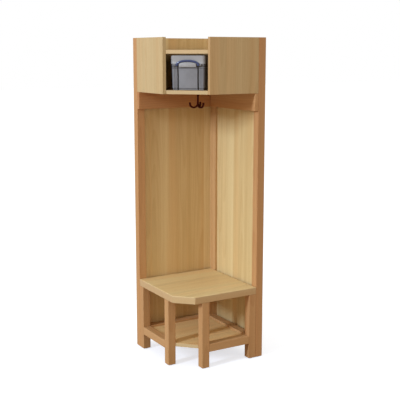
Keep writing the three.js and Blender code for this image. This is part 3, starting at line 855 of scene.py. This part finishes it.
def make_clip(name, node, body, rear):
    """An arched clip of rounded section with thick feet round the hinge pins."""
    bm = bmesh.new()
    loops = []
    around = 20
    depth = 3.3 * MM
    for middle, outward, height in clip_sections():
        ring = []
        for k in range(around):
            angle = 2 * math.pi * k / around
            # A squarish round: between a circle and a rectangle.
            c = math.copysign(abs(math.cos(angle)) ** 0.62, math.cos(angle))
            d = math.copysign(abs(math.sin(angle)) ** 0.62, math.sin(angle))
            ring.append(bm.verts.new(middle + outward * (height * c) + Vector((0, depth * d, 0))))
        loops.append(ring)
    capped(bm, loops)
    bm.transform(Matrix.Translation(PIVOT))
    if rear:
        about = Matrix.Translation((0, BOX_DEPTH / 2, 0))
        bm.transform(about @ Matrix.Rotation(math.pi, 4, "Z") @ about.inverted())
    bm.transform(crate)
    mesh = to_mesh(bm, name)
    smooth_by_angle(mesh, 40)
    add_piece(name, mesh, body, [node], [CLIP])


make_tub()
make_lid()
make_clip("box_clip_front_plastic", "box_clip_front", "front_clip", rear=False)
make_clip("box_clip_rear_plastic", "box_clip_rear", "rear_clip", rear=True)


# ---------------------------------------------------------------- ceiling hook
PLATE_LOW, PLATE_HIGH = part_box("ceiling_hook_base")
PLATE_MIDDLE = (PLATE_LOW + PLATE_HIGH) / 2
HOOK_AXIS = Vector((PLATE_MIDDLE.x, PLATE_MIDDLE.y, PLATE_HIGH.z))
HOOK_TURNS = (42, 162, 282)  # directions of the prongs, in degrees from +X
HOOK_DROP = 73 * MM  # from the plate's top to the bottom of the prongs


def swept(points, radii, sides=20):
    """A closed round bar along points, with its own radius at each."""
    bm = bmesh.new()
    loops = []
    side = None
    for i, point in enumerate(points):
        ahead = points[min(i + 1, len(points) - 1)] - points[max(i - 1, 0)]
        ahead.normalize()
        side = ahead.orthogonal() if side is None else side - ahead * side.dot(ahead)
        side.normalize()
        up = ahead.cross(side)
        ring = []
        for k in range(sides):
            angle = 2 * math.pi * k / sides
            ring.append(bm.verts.new(point + (side * math.cos(angle) + up * math.sin(angle)) * radii[i]))
        loops.append(ring)
    return capped(bm, loops)


def curve_through(points, per_span=6):
    """A smooth Catmull-Rom line through points."""
    padded = [points[0] * 2 - points[1], *points, points[-1] * 2 - points[-2]]
    line = []
    for i in range(1, len(padded) - 2):
        a, b, c, d = padded[i - 1 : i + 3]
        for k in range(per_span):
            t = k / per_span
            bend = (2 * a - 5 * b + 4 * c - d) * t**2 + (3 * b - a - 3 * c + d) * t**3
            line.append(0.5 * (2 * b + (c - a) * t + bend))
    line.append(points[-1])
    return line


def make_prong(turn):
    """One upturned prong and the ball on its end."""
    profile = [(0.5, 26), (1.5, 15), (6, 6.5), (13.5, 1.8), (23, 0.2), (32.6, 4.0), (38.4, 12), (40.0, 20)]
    way = Vector((math.cos(math.radians(turn)), math.sin(math.radians(turn)), 0))
    knots = [HOOK_AXIS + way * (r * MM) + Vector((0, 0, z * MM - HOOK_DROP)) for r, z in profile]
    line = curve_through(knots)
    radii = []
    for i in range(len(line)):
        waist = math.sin(math.pi * min(i / (len(line) - 1) * 1.1, 1.0))
        radii.append(MM * (5.0 - 0.4 * waist))
    ball = bmesh.new()
    at = Matrix.Translation(knots[-1] + Vector((0, 0, 0.5 * MM)))
    bmesh.ops.create_uvsphere(ball, u_segments=24, v_segments=16, radius=5.6 * MM, matrix=at)
    return swept(line, radii), ball


def make_hook():
    """A cast stem that spreads into three prongs, melted together by a remesh."""
    stem = [HOOK_AXIS + Vector((0, 0, -z * MM)) for z in (1.0, 8, 20, 32, 44, 52, 60)]
    parts = [swept(stem, [r * MM for r in (5.3, 5.3, 5.0, 4.9, 5.2, 5.9, 4.6)])]
    for turn in HOOK_TURNS:
        parts += make_prong(turn)
    mesh = to_mesh(joined(*parts), "ceiling_hook_metal")
    draft = bpy.data.objects.new("hook_draft", mesh)
    bpy.context.scene.collection.objects.link(draft)
    remesh = draft.modifiers.new("melt", "REMESH")
    remesh.mode = "VOXEL"
    remesh.voxel_size = 0.8 * MM
    polish = draft.modifiers.new("polish", "SMOOTH")
    polish.factor = 0.5
    polish.iterations = 5
    graph = bpy.context.evaluated_depsgraph_get()
    cast = bpy.data.meshes.new_from_object(draft.evaluated_get(graph))
    bpy.data.objects.remove(draft)
    cast.shade_smooth()
    add_piece("ceiling_hook_metal", cast, "swivel_hook", ["ceiling_hook"], [BRONZE])


def turned(profile, centre, sides=48):
    """A ring or disc turned about a vertical axis, closed all round, from (radius, height) points."""
    bm = bmesh.new()
    loops = []
    for radius, height in profile:
        if radius < 1e-6:
            loops.append([bm.verts.new(centre + Vector((0, 0, height)))])
            continue
        ring = []
        for k in range(sides):
            angle = 2 * math.pi * k / sides
            spoke = Vector((radius * math.cos(angle), radius * math.sin(angle), height))
            ring.append(bm.verts.new(centre + spoke))
        loops.append(ring)
    pairs = list(zip(loops, loops[1:]))
    if len(loops[0]) > 1:
        pairs.append((loops[-1], loops[0]))
    for below, above in pairs:
        for i in range(sides):
            j = (i + 1) % sides
            corners = [below[i % len(below)], below[j % len(below)]]
            corners += [above[j % len(above)], above[i % len(above)]]
            kept = [v for n, v in enumerate(corners) if v not in corners[:n]]
            if len(kept) > 2:
                bm.faces.new(kept)
    return bm


def make_hook_base():
    """A turned flange with a rounded hub, and a hole for each screw."""
    profile = [(5.6, 0.0), (5.6, -12.4), (6.0, -13), (7.8, -13), (8.2, -12.4), (8.5, -9.5)]
    profile += [(9.1, -6.6), (9.8, -4.6), (10.6, -3.5), (11.8, -2.9), (16.6, -2.7)]
    profile += [(17.6, -2.2), (18.0, -1.3), (18.0, 0.0)]
    bm = turned([(r * MM, z * MM) for r, z in profile], HOOK_AXIS)
    holes = []
    for turn in HOOK_TURNS:
        angle = math.radians(turn + 60)
        at = HOOK_AXIS + Vector((math.cos(angle), math.sin(angle), 0)) * (13.8 * MM)
        holes.append(rod(1.7 * MM, at + Vector((0, 0, 1 * MM)), (0, 0, -1), 6 * MM, sides=24))
    mesh = cut_away(to_mesh(bm, "ceiling_hook_base_metal"), holes)
    smooth_by_angle(mesh, 36)
    replaced = ["ceiling_hook_base"]
    add_piece("ceiling_hook_base_metal", mesh, "locker_frame", replaced, [BRONZE])


def make_screw(node):
    """A pan-head screw with a cross recess, seen from below."""
    low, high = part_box(node)
    centre = Vector(((low.x + high.x) / 2, (low.y + high.y) / 2, low.z))
    length = (high.z - low.z) / MM
    profile = [(0.0, 0.0), (1.2, 0.02), (2.1, 0.25), (2.6, 0.75), (2.8, 1.3), (2.8, 1.6), (1.4, 1.6)]
    profile += [(1.4, length - 2.5), (0.0, length)]
    bm = turned([(r * MM, z * MM) for r, z in profile], centre, sides=28)
    slots = []
    for angle in (0, 90):
        slot = bmesh.new()
        turn = Matrix.Rotation(math.radians(angle + 20), 4, "Z")
        shape = Matrix.Diagonal((3.0 * MM, 0.7 * MM, 2.0 * MM, 1.0))
        bmesh.ops.create_cube(slot, size=1.0, matrix=Matrix.Translation(centre) @ turn @ shape)
        slots.append(slot)
    mesh = cut_away(to_mesh(bm, node + "_metal"), slots)
    smooth_by_angle(mesh, 36)
    add_piece(node + "_metal", mesh, "locker_frame", [node], [ZINC])


make_hook()
make_hook_base()
for number in (1, 2, 3):
    make_screw(f"hook_screw_{number}")


# ---------------------------------------------------------------- bolts, brackets and glides
def make_bolt(node):
    """A socket-head bolt: a chamfered head with a hexagonal recess, and a plain shank."""
    low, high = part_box(node)
    size = high - low
    axis = 1 if size.y > size.x else 0
    start = (low + high) / 2
    start[axis] = high[axis]
    length = size[axis] / MM
    profile = [(0.0, 0.0), (6.2, 0.0), (7.0, 0.7), (7.0, 4.0), (3.0, 4.0)]
    profile += [(3.0, length - 0.8), (2.3, length), (0.0, length)]
    bm = turned([(r * MM, z * MM) for r, z in profile], Vector((0, 0, 0)), sides=40)
    socket = rod(2.9 * MM, (0, 0, -1 * MM), (0, 0, 1), 3.6 * MM, sides=6)
    mesh = cut_away(to_mesh(bm, node + "_metal"), [socket])
    inward = Vector([-1.0 if i == axis else 0.0 for i in range(3)])
    turn = Vector((0, 0, 1)).rotation_difference(inward).to_matrix().to_4x4()
    mesh.transform(Matrix.Translation(start) @ turn)
    smooth_by_angle(mesh, 36)
    add_piece(node + "_metal", mesh, "locker_frame", [node], [ZINC])


def make_bracket(node):
    """A bent steel angle with a rounded bend and two holes in each leg."""
    low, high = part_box(node)
    size = high - low
    across = 1 if size.x > size.y else 0
    out = 1 - across
    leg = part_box(node.replace("seat_bracket", "bench_leg"))
    away = 1.0 if low[out] + high[out] > leg[0][out] + leg[1][out] else -1.0
    thick, bend, reach, width = 2.5 * MM, 3.5 * MM, size.z, size[across]
    arc = [math.radians(90 * i / 6) for i in range(7)]
    outer = [(bend - bend * math.sin(a), bend - bend * math.cos(a)) for a in arc]
    inner = [(bend - (bend - thick) * math.sin(a), bend - (bend - thick) * math.cos(a)) for a in arc]
    outline = [(reach, 0.0), *outer, (0.0, reach), (thick, reach), *inner[::-1], (reach, thick)]
    bm = softened(slab(outline, -width / 2, width / 2), 0.4 * MM, 2)
    holes = []
    for place in (14 * MM, 28 * MM):
        holes.append(rod(2.4 * MM, (place, -1 * MM, 0), (0, 1, 0), 6 * MM, sides=28))
        holes.append(rod(2.4 * MM, (-1 * MM, place, 0), (1, 0, 0), 6 * MM, sides=28))
    mesh = cut_away(to_mesh(bm, node + "_metal"), holes)
    # The outline's x runs away from the leg, its y runs down, and its z runs across.
    columns = [Vector(), Vector((0, 0, -1)), Vector()]
    columns[0][out] = away
    columns[2][across] = 1.0
    stand = Matrix([[columns[j][i] for j in range(3)] for i in range(3)]).to_4x4()
    corner = Vector((0, 0, high.z))
    corner[out] = low[out] if away > 0 else high[out]
    corner[across] = (low[across] + high[across]) / 2
    mesh.transform(Matrix.Translation(corner) @ stand)
    # The stand may mirror the mesh, so its normals are worked out again.
    bm = bmesh.new()
    bm.from_mesh(mesh)
    mesh = smooth_by_angle(to_mesh(bm, node + "_metal"), 36)
    add_piece(node + "_metal", mesh, "locker_frame", [node], [ZINC])


def make_glide(node):
    """A turned disc under a foot, rounded where it meets the floor."""
    low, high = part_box(node)
    centre = Vector(((low.x + high.x) / 2, (low.y + high.y) / 2, low.z))
    profile = [(0.0, 0.0), (12.6, 0.0), (13.8, 0.3), (14.7, 1.0), (15.0, 1.8)]
    profile += [(15.0, 2.7), (14.7, 3.0), (0.0, 3.0)]
    mesh = to_mesh(turned([(r * MM, z * MM) for r, z in profile], centre), node + "_plastic")
    smooth_by_angle(mesh, 36)
    add_piece(node + "_plastic", mesh, "locker_frame", [node], [GLIDE])


for cad_node in sorted(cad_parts):
    if "_bolt_" in cad_node:
        make_bolt(cad_node)
    if cad_node.startswith("seat_bracket"):
        make_bracket(cad_node)
    if cad_node.startswith("glide"):
        make_glide(cad_node)


# ---------------------------------------------------------------- stage, light and camera
def make_stage():
    """A white studio floor. It looks white, but throws back only a little warm light."""
    bm = bmesh.new()
    bmesh.ops.create_grid(bm, x_segments=1, y_segments=1, size=30)
    floor = bpy.data.objects.new("floor", to_mesh(bm, "floor"))
    bpy.context.scene.collection.objects.link(floor)
    s = Shader("floor_paint")
    place = s.node("ShaderNodeTexCoord", {}, output="Object")
    cloud = s.noise(place, scale=3.0, detail=3.0)
    seen = s.node("ShaderNodeLightPath", {}, output="Is Camera Ray")
    pale = s.mix(cloud, (0.60, 0.60, 0.60), (0.64, 0.64, 0.64))
    floor.data.materials.append(s.finish(
        Base_Color=s.mix(seen, (0.46, 0.35, 0.26), pale),
        Roughness=s.between(cloud, 0.75, 0.85),
        Specular_IOR_Level=0.2,
        Emission_Color=(0.90, 0.94, 1.0, 1.0),
        Emission_Strength=s.math("MULTIPLY", seen, 0.68),
    ))


def area_light(name, target, distance, azimuth, elevation, size, power, colour=(1, 1, 1)):
    """A soft box that faces target. Azimuth 0 is in front (-Y), 90 is to the left (-X)."""
    a, e = math.radians(azimuth), math.radians(elevation)
    away = Vector((-math.sin(a) * math.cos(e), -math.cos(a) * math.cos(e), math.sin(e)))
    light = bpy.data.lights.new(name, "AREA")
    light.shape = "RECTANGLE"
    light.size, light.size_y = size
    light.energy = power
    light.color = colour
    lamp = bpy.data.objects.new(name, light)
    lamp.location = Vector(target) + away * distance
    lamp.rotation_euler = away.to_track_quat("Z", "Y").to_euler()
    bpy.context.scene.collection.objects.link(lamp)


def make_light():
    area_light("key", (0, 0, 0.9), 18.0, 81.5, 22.5, (1.6, 4.2), 2330, (0.68, 0.80, 1.0))
    world = bpy.data.worlds.new("studio")
    world.use_nodes = True
    tree = world.node_tree
    ambient = tree.nodes["Background"]
    # The light is warmer low down, where a room's floor and furniture would throw it back.
    place = tree.nodes.new("ShaderNodeTexCoord")
    parts = tree.nodes.new("ShaderNodeSeparateXYZ")
    fade = tree.nodes.new("ShaderNodeValToRGB")
    fade.color_ramp.elements[0].color = (0.74, 0.615, 0.50, 1.0)
    fade.color_ramp.elements[1].color = (0.70, 0.72, 0.70, 1.0)
    tree.links.new(place.outputs["Generated"], parts.inputs[0])
    tree.links.new(parts.outputs["Z"], fade.inputs[0])
    tree.links.new(fade.outputs[0], ambient.inputs["Color"])
    white = tree.nodes.new("ShaderNodeBackground")
    white.inputs["Color"].default_value = (1.0, 1.0, 1.0, 1.0)
    path = tree.nodes.new("ShaderNodeLightPath")
    chosen = tree.nodes.new("ShaderNodeMixShader")
    tree.links.new(path.outputs["Is Camera Ray"], chosen.inputs[0])
    tree.links.new(ambient.outputs[0], chosen.inputs[1])
    tree.links.new(white.outputs[0], chosen.inputs[2])
    tree.links.new(chosen.outputs[0], tree.nodes["World Output"].inputs[0])
    bpy.context.scene.world = world


def make_camera():
    data = bpy.data.cameras.new("camera")
    data.lens = 74.5
    data.sensor_width = 36.0
    camera = bpy.data.objects.new("camera", data)
    camera.location = (-2.0755, -3.5495, 1.527)
    camera.rotation_euler = (math.radians(90 - 10.08), 0, math.radians(-30.44))
    bpy.context.scene.collection.objects.link(camera)
    bpy.context.scene.camera = camera


make_stage()
make_light()
make_camera()
bpy.context.scene.view_settings.view_transform = "Standard"
